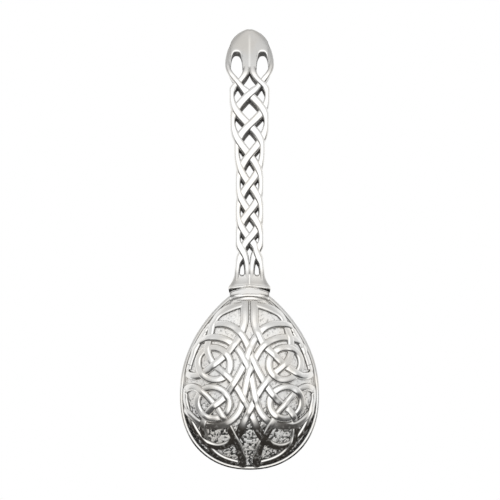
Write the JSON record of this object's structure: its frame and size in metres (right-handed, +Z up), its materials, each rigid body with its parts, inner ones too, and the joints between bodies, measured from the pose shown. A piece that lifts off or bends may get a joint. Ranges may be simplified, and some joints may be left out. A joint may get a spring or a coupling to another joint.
{
  "type": "love spoon",
  "caption": "Cast pewter love spoon with an egg-shaped bowl, raised interlaced strands on its back, a pierced plaited handle and a bud finial.",
  "frame": {"origin": "on the table under the middle of the spoon's length, with the spoon lying face down", "axes": "+Y from the bowl's tip to the handle's tip, +Z up through the back of the bowl, +X across"},
  "size_m": [0.0476, 0.1501, 0.015],
  "materials": {
    "bowl_metal": "cast pewter, stippled and darkened in the recesses",
    "polished_metal": "hand-polished pewter",
    "strand_metal": "hand-polished pewter strands with darkened edges"
  },
  "bodies": {
    "root": {"bowl_shell": "bowl_metal", "rim_band": "polished_metal", "collar": "polished_metal", "finial": "polished_metal", "plait_strand_1": "strand_metal", "plait_strand_2": "strand_metal", "plait_strand_3": "strand_metal", "plait_strand_4": "strand_metal", "knot_stalk_right": "strand_metal", "knot_stalk_left": "strand_metal", "knot_arch_right": "strand_metal", "knot_arch_left": "strand_metal", "knot_branch_right": "strand_metal", "knot_branch_left": "strand_metal", "knot_stem_right": "strand_metal", "knot_stem_left": "strand_metal", "knot_sweep_right": "strand_metal", "knot_sweep_left": "strand_metal", "knot_ring_upper_right": "strand_metal", "knot_ring_upper_left": "strand_metal", "knot_ring_lower_right": "strand_metal", "knot_ring_lower_left": "strand_metal"}
  },
  "joints": []
}
